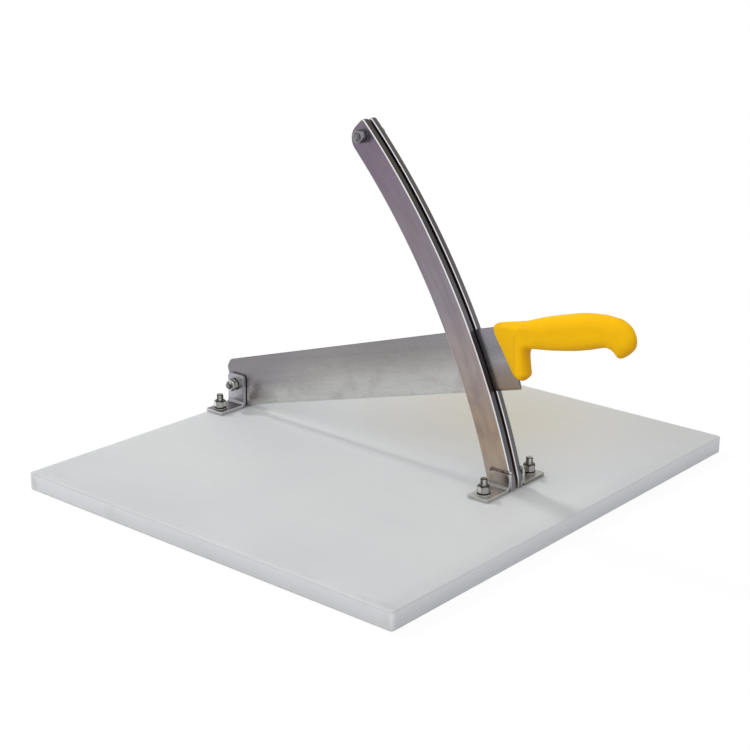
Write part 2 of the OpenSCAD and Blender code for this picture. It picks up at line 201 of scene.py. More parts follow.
# Points, faces and a tone for each face, drawn in millimetres; the tone is painted light and shade
class Shell:
    def __init__(self):
        self.points = []
        self.faces = []
        self.tones = []

    def ring(self, points):
        start = len(self.points)
        self.points += [Vector(point) for point in points]
        return list(range(start, len(self.points)))

    def face(self, corners, tone=0.0):
        self.faces.append(corners)
        self.tones.append(tone)

    def bridge(self, first, second, tone=0.0):
        for i in range(len(first)):
            j = (i + 1) % len(first)
            self.face([first[i], first[j], second[j], second[i]], tone)

    def stack(self, rings, tones=None, closed=False):  # a band from each ring to the next
        after = rings[1:] + rings[:1] * closed
        for i, (first, second) in enumerate(zip(rings, after)):
            self.bridge(first, second, tones[i] if tones else 0.0)

    def close(self, ring, tip, tone=0.0):
        top = self.ring([tip])[0]
        for i in range(len(ring)):
            self.face([ring[i], ring[(i + 1) % len(ring)], top], tone)

    def fill(self, loops, flat, links=()):  # a flat face with holes
        order = [index for loop in loops for index in loop]
        spots = {index: i for i, index in enumerate(order)}
        edges = [(spots[loop[i]], spots[loop[(i + 1) % len(loop)]])
                 for loop in loops for i in range(len(loop))]
        edges += [(spots[a], spots[b]) for a, b in links]
        points = [Vector(flat(self.points[index])) for index in order]
        result = delaunay_2d_cdt(points, edges, [], 5, flatGap)
        for face in result[2]:
            self.face([order[result[3][i][0]] for i in face])

    def bend(self, rule):
        self.points = [rule(point) for point in self.points]

    def piece(self, name, finish, sharpAngle=32, weighted=True):
        mesh = bpy.data.meshes.new(name)
        mesh.from_pydata([point * mm for point in self.points], [], self.faces)
        mesh.attributes.new("tone", "FLOAT", "FACE").data.foreach_set("value", self.tones)
        shape = bmesh.new()
        shape.from_mesh(mesh)
        bmesh.ops.remove_doubles(shape, verts=shape.verts, dist=mergeGap)
        bmesh.ops.recalc_face_normals(shape, faces=shape.faces)
        shape.to_mesh(mesh)
        shape.free()
        mesh.polygons.foreach_set("use_smooth", [True] * len(mesh.polygons))
        mesh.set_sharp_from_angle(angle=math.radians(sharpAngle))
        mesh.materials.append(finish)
        made = addObject(name, mesh)
        if weighted:
            made.modifiers.new("normals", "WEIGHTED_NORMAL").keep_sharp = True
            settle(made)
        return made


def settle(made):  # the modifiers' result becomes the piece's plain mesh
    bpy.context.view_layer.update()
    graph = bpy.context.evaluated_depsgraph_get()
    mesh = bpy.data.meshes.new_from_object(made.evaluated_get(graph), depsgraph=graph)
    made.modifiers.clear()
    old = made.data
    made.data = mesh
    bpy.data.meshes.remove(old)
    mesh.name = made.name


def seat(piece, body, slot, *nodes):
    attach(piece, body)
    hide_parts(*nodes)


def arc(centre, radius, start, end, count):  # points in a plane, angles in degrees
    angles = [math.radians(start + (end - start) * i / count) for i in range(count + 1)]
    return [(centre[0] + radius * math.cos(a), centre[1] + radius * math.sin(a)) for a in angles]


def circle(x, y, radius, count):
    return arc((x, y), radius, 0, 360 * (count - 1) / count, count - 1)


def easedSteps(soft, thick, easing):  # inset and depth of a plate's rings, its edges eased
    mid = soft * easing
    return [(soft, 0), (mid, mid), (0, soft), (0, thick - soft), (mid, thick - mid), (soft, thick)]


def nodeSpot(node, along):  # middle of a node's face that its fastener stands on
    low, high = (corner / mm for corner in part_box(node))
    middle = (low + high) / 2
    if along == "up":
        return Vector((middle.x, middle.y, low.z))
    return Vector((middle.x, high.y, middle.z))


# Camera, light and stage
view = {
    "place": (1.03972, -1.27405, 0.64867),
    "right": (0.766240, 0.642444, 0.011437),
    "up": (-0.207810, 0.230933, 0.950508),
    "back": (0.608014, -0.730705, 0.310465),
    "lens": 75.670,
}
light = {"skyNear": 1.26, "skyFar": 0.31, "lamp": 1.0, "spread": 8, "lean": (-5, -46, 0),
         "floor": 0.7, "floorReach": 20, "glow": 1.05, "glowShare": 0.87}


def stageRays(graph):  # camera, mirror and see-through rays meet a white stage
    rays = graph.add("ShaderNodeLightPath").socket.node.outputs
    names = ("Is Camera Ray", "Is Glossy Ray", "Is Transmission Ray")
    first, second, third = (Field(graph, rays[name]) for name in names)
    return first.to("MAXIMUM", second).to("MAXIMUM", third)


def setStage():
    white = (1, 1, 1, 1)
    lens = bpy.data.cameras.new("photoView")
    lens.lens = view["lens"]
    camera = addObject("photoView", lens)
    turn = Matrix((view["right"], view["up"], view["back"])).transposed().to_4x4()
    camera.matrix_world = Matrix.Translation(view["place"]) @ turn
    bpy.context.scene.camera = camera

    lamp = bpy.data.lights.new("softKey", "SUN")
    lamp.energy = light["lamp"]
    lamp.angle = math.radians(light["spread"])
    key = addObject("softKey", lamp)
    key.rotation_euler = [math.radians(a) for a in light["lean"]]
    key.visible_glossy = False  # no glare: metal mirrors the white stage alone

    sky = bpy.data.worlds.new("whiteStudio")
    sky.use_nodes = True
    sky.node_tree.nodes.clear()
    bpy.context.scene.world = sky
    graph = Graph(sky.node_tree)
    toward = graph.split(graph.add("ShaderNodeTexCoord", output="Generated"))[1]
    near, far, seen = (graph.add("ShaderNodeBackground", {}, {0: white, 1: strength})
                       for strength in (light["skyNear"], light["skyFar"], 1.0))
    soft = graph.add("ShaderNodeMixShader", {}, {0: 0.5 + 0.5 * toward, 1: near, 2: far})
    both = graph.add("ShaderNodeMixShader", {}, {0: stageRays(graph), 1: soft, 2: seen})
    graph.add("ShaderNodeOutputWorld", {}, {0: both})

    finish, graph = blankFinish("paleFloor")
    matte = graph.add("ShaderNodeBsdfDiffuse", {}, {0: (*[light["floor"]] * 3, 1)})
    glow = graph.add("ShaderNodeEmission", {}, {0: white, 1: light["glow"]})
    share = stageRays(graph) * light["glowShare"]
    both = graph.add("ShaderNodeMixShader", {}, {0: share, 1: matte, 2: glow})
    graph.add("ShaderNodeOutputMaterial", {}, {0: both})
    reach = light["floorReach"]
    mesh = bpy.data.meshes.new("paleFloor")
    corners = [(-reach, -reach, 0), (reach, -reach, 0), (reach, reach, 0), (-reach, reach, 0)]
    mesh.from_pydata(corners, [], [(0, 1, 2, 3)])
    mesh.materials.append(finish)
    addObject("paleFloor", mesh)


bpy.context.scene.view_settings.view_transform = "Standard"
setStage()
print("stage set")


# Cutting board
board = {"length": 505, "width": 600, "thick": 20, "corner": 4, "edge": 2.2, "edgeSteps": 6,
         "cornerSteps": 8, "hole": 4.5, "recess": 9.5, "recessDepth": 8.8, "holeSides": 40}


def boardFinish():
    finish, graph, spot, (x, y, z) = newFinish("waxyPolyethylene")
    halfX, halfY, top = board["length"] / 2, board["width"] / 2, board["thick"]
    cloud = graph.noise(spot, 150, 3)
    peel = graph.noise(spot, 1.6, 3)
    swirl = graph.noise(graph.join(x * 0.06, y, z), 9, 4)  # faint planing along the board
    smear = graph.noise(graph.join(x * 0.35, y, z * 0.4), 16, 5).span(0.55, 0.72)
    nearEdge = (y + halfY - 34 * cloud).span(14, -6)
    side = z.span(top - 0.1, top - 2.2)
    # rim: painted shade along the rounded top edge, stronger on the -y side
    rim = z.span(top - 2.8, top - 1.4) * z.span(top - 0.02, top - 0.5)
    rim = rim * (0.4 + 0.3 * y.span(6 - halfY, 3 - halfY))
    bounceX, bounceY = (x - 20) / 235, (y - 200) / 235  # a painted pool of warm bounce light on the far half
    stainAndBounce = (bounceX * bounceX + bounceY * bounceY).to("SQRT").span(1, 0.05)
    # pale: painted light toward the front left of the top
    pale = (x * 0.8 + y).span(60, -330) * y.span(10 - halfY, 140 - halfY)
    # painted light: the sides are paler than the top and toward their top edge, and most of them toward the
    # -x end
    front = graph.mix(z.span(0, top - 1), (209, 211, 216), (217, 218, 222))
    flank = graph.layers(
        graph.mix(z.span(0, top - 2), (206, 207, 210), (214, 215, 218)),
        (x.span(40, -200) * 0.55, (225, 226, 229)),
        # painted contact shadow along the bottom edge
        (z.span(2.2, 0.4) * 0.6, (176, 177, 180)))
    base = graph.layers(
        graph.mix(cloud.span(0.3, 0.7), (201, 203, 205), (206, 208, 209)),
        (pale * 0.7, (211, 213, 213)),
        # painted warm bounce light on the far half
        (stainAndBounce * (0.7 + 0.3 * cloud), (200, 194, 179)),
        # painted shade: darker toward the back right corner and along the +x edge
        ((x + y).span(320, 520) * 0.65, (184, 185, 182)),
        (x.span(halfX - 30.5, halfX - 0.5) * 0.45, (190, 191, 193)),
        (side, graph.mix(x.span(halfX - 5.5, halfX - 1.5), flank, front)),
        # painted shade on the rounded top edge
        (rim, (186, 188, 191)),
        (smear * nearEdge * 0.4, (180, 180, 179)),
        (swirl.span(0.5, 0.8) * 0.10, (190, 192, 193)))
    rough = 0.5 + 0.16 * (swirl - 0.5) + 0.10 * smear
    inputs = {"Base Color": base, "Roughness": rough, "Specular IOR Level": 0.22,
              "Subsurface Weight": 0.6, "Subsurface Radius": (1.0, 1.0, 1.0),
              "Subsurface Scale": 0.009}
    graph.coat(inputs, peel * 0.7 + swirl * 0.6, 0.03)
    return finish


def boardOutline(inset):
    halfX = board["length"] / 2 - board["corner"]
    halfY = board["width"] / 2 - board["corner"]
    points = []
    for i, (wayX, wayY) in enumerate(((1, 1), (-1, 1), (-1, -1), (1, -1))):
        points += arc((wayX * halfX, wayY * halfY), board["corner"] - inset,
                      90 * i, 90 * i + 90, board["cornerSteps"])
    return points


def makeBoard():
    shell = Shell()
    edge, thick, steps = board["edge"], board["thick"], board["edgeSteps"]
    bend = [(edge * (1 - math.cos(a)), edge * (1 - math.sin(a)))
            for a in (math.pi / 2 * i / steps for i in range(steps + 1))]
    levels = bend[::-1] + [(inset, thick - drop) for inset, drop in bend]
    rings = [shell.ring([(x, y, z) for x, y in boardOutline(inset)]) for inset, z in levels]
    shell.stack(rings)
    hole, recess, deep = board["hole"], board["recess"], board["recessDepth"]
    tops, mouths = [], []
    for place in places:
        spot = nodeSpot("foot_bolt_" + place, "up")
        holes = [shell.ring([(x, y, z) for x, y in circle(spot.x, spot.y, r, board["holeSides"])])
                 for r, z in ((recess, 0), (recess, deep), (hole, deep), (hole, thick))]
        shell.stack(holes)
        mouths.append(holes[0])
        tops.append(holes[-1])
    shell.fill([rings[0]] + mouths, lambda p: (p.x, p.y))
    shell.fill([rings[-1]] + tops, lambda p: (p.x, p.y))
    seat(shell.piece("boardSlab", boardFinish()), "base", "board", "cutting_board")


makeBoard()
print("board made")


# Guide bars
guideArc = {"centreX": -651.217, "centreZ": -206.898, "radius": 838.5, "topAngle": 44.296}
bar = {"width": 31.5, "thick": 8.4, "chamfer": 1.0, "easing": 0.36, "innerCorner": 17.5,
       "outerCorner": 4, "front": 169, "trimTop": 40, "hole": 4.5, "holeSides": 40,
       "arcSteps": 110, "outerSteps": 10, "innerSteps": 24}


def steelCore(graph, spot, along, across, depth):  # grinding marks that follow the metal
    fine = graph.noise(graph.join(along * 0.02, across, depth), 0.7, 3)
    broad = graph.noise(graph.join(along * 0.12, across, depth), 7, 4)
    stainAndBounce = graph.noise(spot, 22, 3)
    return fine, broad, stainAndBounce


def guideFinish():
    finish, graph, spot, (x, y, z) = newFinish("rolledSteel")
    left, up = x - guideArc["centreX"], z - guideArc["centreZ"]
    across = (left * left + up * up).to("SQRT")
    along = up.to("ARCTAN2", left) * guideArc["radius"]
    fine, broad, stainAndBounce = steelCore(graph, spot, along, across, y)
    tone = graph.tone()
    height = z / 400
    # painted reflection: the face colour by height, warm brown low down and purple-grey higher up
    face = graph.layers(
        graph.ramp(height, (0.06, (200, 186, 172)), (0.20, (190, 167, 145)), (0.32, (178, 165, 158)),
                   (0.50, (150, 142, 149)), (0.90, (127, 115, 130))),
        (stainAndBounce.span(0.45, 0.75) * 0.35, (140, 122, 128)),
        (broad.span(0.35, 0.75) * 0.22, (104, 96, 106)))
    # painted reflection: the edge faces are darker by height
    edge = graph.layers(
        graph.ramp(height, (0.055, (168, 168, 172)), (0.10, (95, 95, 100)), (0.28, (80, 79, 83)),
                   (0.50, (101, 98, 101)), (0.66, (69, 66, 66)), (0.88, (72, 68, 62))),
        ((y - layout["bladeY"]).span(0.2, 2.2) * 0.4, (108, 106, 102)))  # painted reflection: the far bar's edge is paler
    base = graph.layers(
        face,
        # tone 0.5 takes the painted dark edge colour, tone 1 a painted highlight on the chamfers
        (tone.span(0.2, 0.5), edge),
        (tone.span(0.6, 0.9), (236, 234, 236)),
        (fine.span(0.3, 0.8) * 0.14, (90, 84, 90)))
    rough = 0.34 + 0.22 * (broad - 0.5) + 0.12 * (fine - 0.5)
    graph.metal(base, rough, fine, 0.012)
    return finish


def barOutline(inset):
    radius, half = guideArc["radius"], bar["width"] / 2
    centre = Vector((guideArc["centreX"], guideArc["centreZ"]))
    top = math.radians(guideArc["topAngle"])
    outer, inner = radius + half, radius - half
    rise = layout["boardTop"] - centre.y

    def corner(edge, size, side):  # middle of a top corner's circle, in the end's own frame
        return Vector((math.sqrt((edge - side * size) ** 2 - size ** 2), -size))

    def polar(r, start, end):
        return arc((0, 0), r, math.degrees(start), math.degrees(end), bar["arcSteps"])

    outSize, inSize = bar["outerCorner"], bar["innerCorner"]
    outMiddle, inMiddle = corner(outer, outSize, 1), corner(inner, inSize, -1)
    outTurn = math.atan2(outMiddle.y, outMiddle.x)
    inTurn = math.atan2(inMiddle.y, inMiddle.x)
    points = polar(outer - inset, math.asin(rise / (outer - inset)) - top, outTurn)
    points += arc(outMiddle, outSize - inset, math.degrees(outTurn), 90, bar["outerSteps"])[1:]
    points += arc(inMiddle, inSize - inset, 90, 180 + math.degrees(inTurn), bar["innerSteps"])
    points += polar(inner + inset, inTurn, math.asin(rise / (inner + inset)) - top)[1:]
    world = []
    for p, q in points:
        x = centre.x + p * math.cos(top) - q * math.sin(top)
        z = centre.y + p * math.sin(top) + q * math.cos(top)
        world.append((min(x, bar["front"]) if z < bar["trimTop"] else x, z))
    return world


def makeBar(side, sign, finish):
    shell = Shell()
    thick = bar["thick"]
    steps = easedSteps(bar["chamfer"], thick, bar["easing"])
    inside = 1.0 if sign > 0 else 0.5  # the near bar's slot-side chamfer takes the painted dark edge colour, the far bar's the painted highlight
    outlines = {inset: barOutline(inset) for inset, _ in steps}

    def at(x, z, deep):
        return (x, layout["bladeY"] + sign * (layout["slotHalf"] + deep), z)

    rings = [shell.ring([at(x, z, deep) for x, z in outlines[inset]]) for inset, deep in steps]
    shell.stack(rings, (inside, inside, 0.5, 1.0, 1.0))
    spot = nodeSpot("guide_bolt", "across")
    holes = [shell.ring([at(x, z, deep) for x, z in circle(spot.x, spot.z, bar["hole"], bar["holeSides"])])
             for deep in (0, thick)]
    shell.bridge(holes[0], holes[1], 0.5)
    shell.fill([rings[0], holes[0]], lambda p: (p.x, p.z))
    shell.fill([rings[-1], holes[1]], lambda p: (p.x, p.z))
    seat(shell.piece("guideBar" + side.title(), finish), "base", "steel", "guide_bar_" + side)


rolledSteel = guideFinish()
for side, sign in sides:
    makeBar(side, sign, rolledSteel)
print("guide bars made")


# Bent plates: the hinge brackets and the guide's feet
plate = {"thick": 4, "width": 26, "foot": 42, "bend": 4, "legCorner": 4.2, "footCorner": 2.4,
         "soft": 0.6, "easing": 0.29, "hole": 4.5, "holeInset": 11.5, "holeSides": 32,
         "bendRows": 12, "cornerSteps": 6}
hinge = {"leg": 40, "pivotRise": 28.3}
guideFoot = {"leg": 20}
# Plate colours: leg and foot differ as painted reflection; edge and rim are painted highlights, bend a
# painted shade
hingeLook = {"leg": (188, 189, 196), "legStain": (160, 160, 166), "legFront": (160, 160, 166),
             "foot": (128, 124, 127), "footStain": (110, 106, 109), "edge": (246, 244, 247),
             "bend": (168, 165, 169), "rim": (206, 203, 206)}
footLook = {"leg": (190, 179, 169), "legStain": (166, 154, 145), "legFront": (110, 103, 100),
            "foot": (208, 209, 206), "footStain": (180, 180, 177), "edge": (214, 211, 207),
            "bend": (112, 106, 103), "rim": (192, 192, 189)}


def plateFinish(name, look):
    finish, graph, spot, (x, y, z) = newFinish(name)
    fine, broad, stainAndBounce = steelCore(graph, spot, y + z, x, y - z)
    tone = graph.tone()
    blotch = stainAndBounce.span(0.3, 0.72)
    rise = z - layout["boardTop"]
    upper = rise.span(4.5, 9)
    # inside: painted shade inside the bend, on the flat faces
    inside = rise.span(4.1, 5.2) * rise.span(10.5, 7) * tone.span(0.4, 0.3)
    # rim: the edge faces, which take a painted highlight
    rim = tone.span(0.4, 0.5) * tone.span(0.7, 0.6)
    leg = graph.layers(
        graph.mix(blotch, look["leg"], look["legStain"]),
        ((x - layout["guideX"]).span(-3, 14), look["legFront"]))
    base = graph.layers(
        graph.mix(blotch, look["foot"], look["footStain"]),
        # the leg over the foot: one bent plate painted in two colours, a painted reflection
        (rise.span(4, 12), leg),
        (broad.span(0.4, 0.8) * 0.3, (108, 102, 100)),
        # painted highlights: the chamfers, fainter up the leg, and the edge faces, brighter up the leg
        (tone.span(0.6, 0.9) * (0.8 - 0.7 * upper), look["edge"]),
        (inside * 0.75, look["bend"]),
        (rim * upper, (228, 228, 232)),
        (rim * (1 - upper) * 0.8, look["rim"]),
        (y.span(19, 24) * 0.55, (120, 118, 104)),  # painted shade: the far feet are darker and greener
        (fine.span(0.3, 0.8) * 0.12, (90, 86, 84)))
    rough = 0.36 + 0.2 * (broad - 0.5) + 0.1 * (fine - 0.5)
    graph.metal(base, rough, fine, 0.012)
    return finish


def makePlate(name, node, leg, place, sign, legHole, finish):
    shell = Shell()
    half, turns = plate["width"] / 2, plate["cornerSteps"]
    middle = plate["bend"] + plate["thick"] / 2  # radius of the bend at mid thickness
    outside = plate["bend"] + plate["thick"]
    straight = leg - outside
    arcLength = middle * math.pi / 2
    total = straight + arcLength + plate["foot"] - outside
    rows = [straight + arcLength * i / plate["bendRows"] for i in range(plate["bendRows"] + 1)]

    def outline(inset):
        near, far = plate["legCorner"], plate["footCorner"]
        points = arc((half - near, near), near - inset, -90, 0, turns)
        points += [(half - inset, row) for row in rows]
        points += arc((half - far, total - far), far - inset, 0, 90, turns)
        points += arc((far - half, total - far), far - inset, 90, 180, turns)
        points += [(inset - half, row) for row in reversed(rows)]
        return points + arc((near - half, near), near - inset, 180, 270, turns)

    deep = plate["thick"] / 2
    rings = [shell.ring([(x, s, depth - deep) for x, s in outline(inset)])
             for inset, depth in easedSteps(plate["soft"], plate["thick"], plate["easing"])]
    shell.stack(rings, (1, 1, 0.5, 1, 1))
    spots = [total - plate["holeInset"]] + ([leg - legHole] if legHole else [])
    holes = [[shell.ring([(x, s, h) for x, s in circle(0, spot, plate["hole"], plate["holeSides"])])
              for h in (-deep, deep)] for spot in spots]
    for first, second in holes:
        shell.bridge(first, second, 0.5)
    start, last = turns + 1, len(rings[0]) - turns - 2
    for k, ring in ((0, rings[0]), (1, rings[-1])):
        links = [(ring[start + i], ring[last - i]) for i in range(len(rows))]
        shell.fill([ring] + [hole[k] for hole in holes], lambda p: (p.x, p.y), links)

    def bent(p):
        x, s, h = p
        if s < straight:
            y, z = deep + h, leg - s
        elif s < straight + arcLength:
            a = (s - straight) / middle
            y, z = outside - (middle - h) * math.cos(a), outside - (middle - h) * math.sin(a)
        else:
            y, z = outside + s - straight - arcLength, deep + h
        return Vector((place.x + x, place.y + sign * y, place.z + z))

    shell.bend(bent)
    seat(shell.piece(name, finish), "base", "steel", node)


hingeSteel = plateFinish("hingeSteel", hingeLook)
footSteel = plateFinish("footSteel", footLook)
for side, sign in sides:
    face = layout["bladeY"] + sign * layout["slotHalf"]
    place = Vector((pivot.x, face, layout["boardTop"]))
    makePlate("hingeBracket" + side.title(), "hinge_bracket_" + side, hinge["leg"],
              place, sign, hinge["pivotRise"], hingeSteel)
    place = Vector((layout["guideX"], face + sign * bar["thick"], layout["boardTop"]))
    makePlate("guideFoot" + side.title(), "guide_foot_" + side, guideFoot["leg"],
              place, sign, 0, footSteel)
print("brackets made")


# Trees of nodes for what repeats or follows a rule
def newTree(name, **sockets):
    tree = bpy.data.node_groups.new(name, "GeometryNodeTree")
    keys = {}
    tree.interface.new_socket("Geometry", in_out="OUTPUT", socket_type="NodeSocketGeometry")
    for label, kind in {"Geometry": "Geometry", **sockets, "Finish": "Material"}.items():
        made = tree.interface.new_socket(label, in_out="INPUT", socket_type="NodeSocket" + kind)
        keys[label] = made.identifier
    graph = Graph(tree)
    source = graph.add("NodeGroupInput").socket.node
    return graph, {label: Field(graph, source.outputs[label]) for label in keys}, keys


def endTree(graph, geometry, material):
    whole = graph.add("GeometryNodeRealizeInstances", {}, {0: geometry})
    whole = graph.add("GeometryNodeSetMaterial", {}, {"Geometry": whole, "Material": material})
    graph.add("NodeGroupOutput", {}, {0: whole})


def runTree(made, rule, values):
    graph, keys = rule
    modifier = made.modifiers.new(graph.tree.name, "NODES")
    modifier.node_group = graph.tree
    for label, value in values.items():
        modifier[keys[label]] = value
    settle(made)


def threadTree():  # cuts a thread into the upright rows of a turned shank
    graph, given, keys = newTree("threadRule", Pitch="Float", Depth="Float", From="Float", Core="Float")
    x, y, z = graph.split(graph.add("GeometryNodeInputPosition"))
    radius = (x * x + y * y).to("SQRT")
    turn = y.to("ARCTAN2", x) / (2 * math.pi)
    phase = (z / given["Pitch"] - turn).to("FRACT")
    groove = (1 - (phase * 2 - 1).to("ABSOLUTE")).span(0.12, 0.9)
    held = z.to("GREATER_THAN", given["From"]) * radius.to("GREATER_THAN", given["Core"])
    cut = groove * held * given["Depth"]
    inward = graph.add("ShaderNodeVectorMath", {"operation": "SCALE"},
                       {0: graph.join(x, y, 0.0), "Scale": cut / radius.to("MAXIMUM", 1e-6) * -1})
    moved = graph.add("GeometryNodeSetPosition", {}, {"Geometry": given["Geometry"], "Offset": inward})
    # painted shade in the thread's grooves
    dark = graph.attribute("tone").to("MAXIMUM", groove * held * 0.8)
    marked = graph.add("GeometryNodeStoreNamedAttribute", {"data_type": "FLOAT", "domain": "FACE"},
                       {"Geometry": moved, "Name": "tone", "Value": dark})
    endTree(graph, marked, given["Finish"])
    return graph, keys


def scatterTree():  # sets one part on every point, turned to its aim
    graph, given, keys = newTree("fastenerSet", Part="Object")
    aim, turn = graph.attribute("aim", "FLOAT_VECTOR"), graph.attribute("turn")
    facing = graph.add("FunctionNodeAlignRotationToVector", {"axis": "Z"}, {"Vector": aim})
    spin = graph.add("FunctionNodeAxisAngleToRotation", {}, {"Axis": (0, 0, 1), "Angle": turn})
    turned = graph.add("FunctionNodeRotateRotation", {"rotation_space": "LOCAL"},
                       {"Rotation": facing, "Rotate By": spin})
    part = graph.add("GeometryNodeObjectInfo", {}, {"Object": given["Part"]}, "Geometry")
    placed = graph.add("GeometryNodeInstanceOnPoints", {},
                       {"Points": given["Geometry"], "Instance": part, "Rotation": turned})
    endTree(graph, placed, given["Finish"])
    return graph, keys


def weldTree():  # a bead of overlapping ripples along a path
    steps, corners, lumps, taper = 110, 14, 9, 22
    graph, given, keys = newTree("weldBead", Size="Float", Ripples="Float", Uneven="Float",
                                 Lump="Float", Seed="Float")
    path = graph.add("GeometryNodeMeshToCurve", {}, {"Mesh": given["Geometry"]})
    path = graph.add("GeometryNodeResampleCurve", {}, {"Curve": path, "Count": steps})
    share = graph.add("GeometryNodeSplineParameter", {}, {}, "Factor")
    ripple = (share * given["Ripples"]).to("FRACT")
    lump = graph.add("ShaderNodeTexNoise", {"noise_dimensions": "1D"},
                     {"W": share * lumps + given["Seed"], "Scale": 1.0})
    ends = (share * (1 - share) * taper).to("MINIMUM", 1.0).to("SQRT")
    start = 1 + given["Lump"] * share.span(0.2, 0.06)
    size = given["Size"] * ends * start * (0.82 + 0.18 * ripple + given["Uneven"] * (lump - 0.5))
    path = graph.add("GeometryNodeSetCurveRadius", {}, {"Curve": path, "Radius": size})
    profile = graph.add("GeometryNodeCurvePrimitiveCircle", {}, {"Resolution": corners, "Radius": 1.0})
    bead = graph.add("GeometryNodeCurveToMesh", {}, {
        "Curve": path, "Profile Curve": profile, "Scale": size, "Fill Caps": True})
    endTree(graph, bead, given["Finish"])
    return graph, keys


# Fasteners; a tone of 0 is bright and 1 is dark, painted light and shade on each face
bolt = {"radius": 4, "bore": 4.05, "core": 3.92, "pitch": 1.25, "depth": 0.62, "threadFrom": 8,
        "pitchRows": 10, "endChamfer": 0.8, "sides": 48, "flats": 13, "face": 6.24, "slope": 30,
        "headHeight": 5.3, "streaks": 3, "streakFrom": -50, "dark": 0.9, "shine": 0.8, "fade": 1.5}
nut = {"height": 8, "mouth": 0.5, "cone": 5.6, "coneSlope": 42, "ridge": 0.5,
       "flatTones": (0.02, 0.34, 0.0, 0.28, 0.06, 0.38)}
nutTurns = {"foot_nut_rear_left": 8, "foot_nut_rear_right": 47, "foot_nut_front_left": 20,
            "foot_nut_front_right": 33, "pivot_nut": 12, "guide_nut": 26}
washer = {"outer": 8, "thick": 2.4, "spring": 7.1, "flat": 1.2, "soft": 0.25, "easing": 0.3}


def fastenerFinish():
    finish, graph, spot, (_, _, z) = newFinish("zincedSteel")
    tone = graph.tone()
    fleck = graph.noise(spot, 1.1, 3)
    cloud = graph.noise(spot, 5, 2)
    base = graph.layers(
        graph.mix(cloud.span(0.35, 0.7), (236, 235, 232), (208, 206, 201)),
        (z.span(120, 360) * 0.85, (122, 118, 130)),  # painted reflection: purple-grey at the guide's top, like the bar
        # painted shade from each face's tone, lighter at the guide's top
        (tone * (1 - 0.45 * z.span(200, 300)), (46, 43, 41)),
        (fleck.span(0.55, 0.8) * 0.2, (92, 86, 80)))
    rough = 0.24 + 0.16 * (cloud - 0.5) + 0.1 * tone
    graph.metal(base, rough, fleck, 0.02)
    return finish


def roundRing(shell, radius, z):
    return shell.ring([(x, y, z) for x, y in circle(0, 0, radius, bolt["sides"])])


def hexRing(shell, z, way, start, angle):  # the edge where a turned cone meets the six flats
    slope = math.tan(math.radians(angle))
    points = []
    for i in range(bolt["sides"]):
        a = 2 * math.pi * i / bolt["sides"]
        off = (a + math.pi / 6) % (math.pi / 3) - math.pi / 6
        r = bolt["flats"] / 2 / math.cos(off)
        drop = max(0.0, r - start) * slope
        points.append((r * math.cos(a), r * math.sin(a), z - way * drop))
    return shell.ring(points)


def nutShell(topTone):
    shell = Shell()
    high, bore, mouth, cone = nut["height"], bolt["bore"], nut["mouth"], nut["cone"]
    rings = [roundRing(shell, bore, mouth), roundRing(shell, bore, high - mouth),
             roundRing(shell, bore + mouth, high), roundRing(shell, cone, high),
             hexRing(shell, high, 1, cone, nut["coneSlope"]),
             hexRing(shell, 0, -1, bolt["face"], bolt["slope"]),
             roundRing(shell, bolt["face"], 0), roundRing(shell, bore + mouth, 0)]
    # painted shade in the bore, on the lower cone and underneath; the top cone takes topTone
    shell.stack(rings, (0.9, 0.9, topTone, topTone, 0.0, 0.9, 0.9, 0.9), True)
    count = bolt["sides"]
    perFlat, flats = count // 6, 4 * count
    for i in range(count):  # painted reflection: each flat gets its own brightness, the ridges between flats darker
        flat = (6 * i + count // 2) // count % 6
        ridge = (i + perFlat // 2) % perFlat in (0, perFlat - 1)
        shell.tones[flats + i] = max(nut["flatTones"][flat], nut["ridge"] if ridge else 0)
    return shell


def washerShell():  # a flat washer and a spring ring on it; painted shade darkens the ring and the washer's top under the nut, and a painted highlight lights its rounded rim
    shell = Shell()
    outer, inner, thick = washer["outer"], bolt["bore"], washer["thick"]
    soft, ledge, spring = washer["soft"], washer["flat"], washer["spring"]
    mid = soft * washer["easing"]
    rings = [roundRing(shell, r, z) for r, z in (
        (inner, 0), (inner, thick), (spring, thick), (spring, ledge), (outer - soft, ledge),
        (outer - mid, ledge - mid), (outer, ledge - soft),
        (outer, soft), (outer - mid, mid), (outer - soft, 0))]
    shell.stack(rings, (0.8, 0.9, 1.0, 0.8, 0.0, 0.0, 0.3, 0.7, 0.7, 0.7), True)
    return shell


def boltShell(length, endTone):
    shell = Shell()
    high, face, radius, slope = bolt["headHeight"], bolt["face"], bolt["radius"], bolt["slope"]
    count, straight = bolt["sides"], length - bolt["endChamfer"]
    rings = [roundRing(shell, face, -high), hexRing(shell, -high, -1, face, slope),
             hexRing(shell, 0, 1, face, slope), roundRing(shell, face, 0), roundRing(shell, radius, 0)]
    rows = int(straight / (bolt["pitch"] / bolt["pitchRows"]))
    rings += [roundRing(shell, radius, straight * i / rows) for i in range(1, rows + 1)]
    rings.append(roundRing(shell, radius - bolt["endChamfer"], length))
    streaks = []
    for i in range(count):  # painted highlight: bright streaks down the shank
        turn = 2 * math.pi * (i + 0.5) / count - math.radians(bolt["streakFrom"])
        bright = 0.5 + 0.5 * math.cos(bolt["streaks"] * turn)
        streaks.append(bolt["dark"] - bolt["shine"] * bright ** bolt["fade"])
    # painted light and shade on the head, and a painted dark rim on the end chamfer
    shell.stack(rings, [0.3, 0.0, 0.5, 0.6] + [0.0] * rows + [1.0])
    shell.tones[4 * count:(4 + rows) * count] = streaks * rows
    shell.close(rings[0], (0, 0, -high), 0.3)
    shell.close(rings[-1], (0, 0, length), endTone)
    return shell


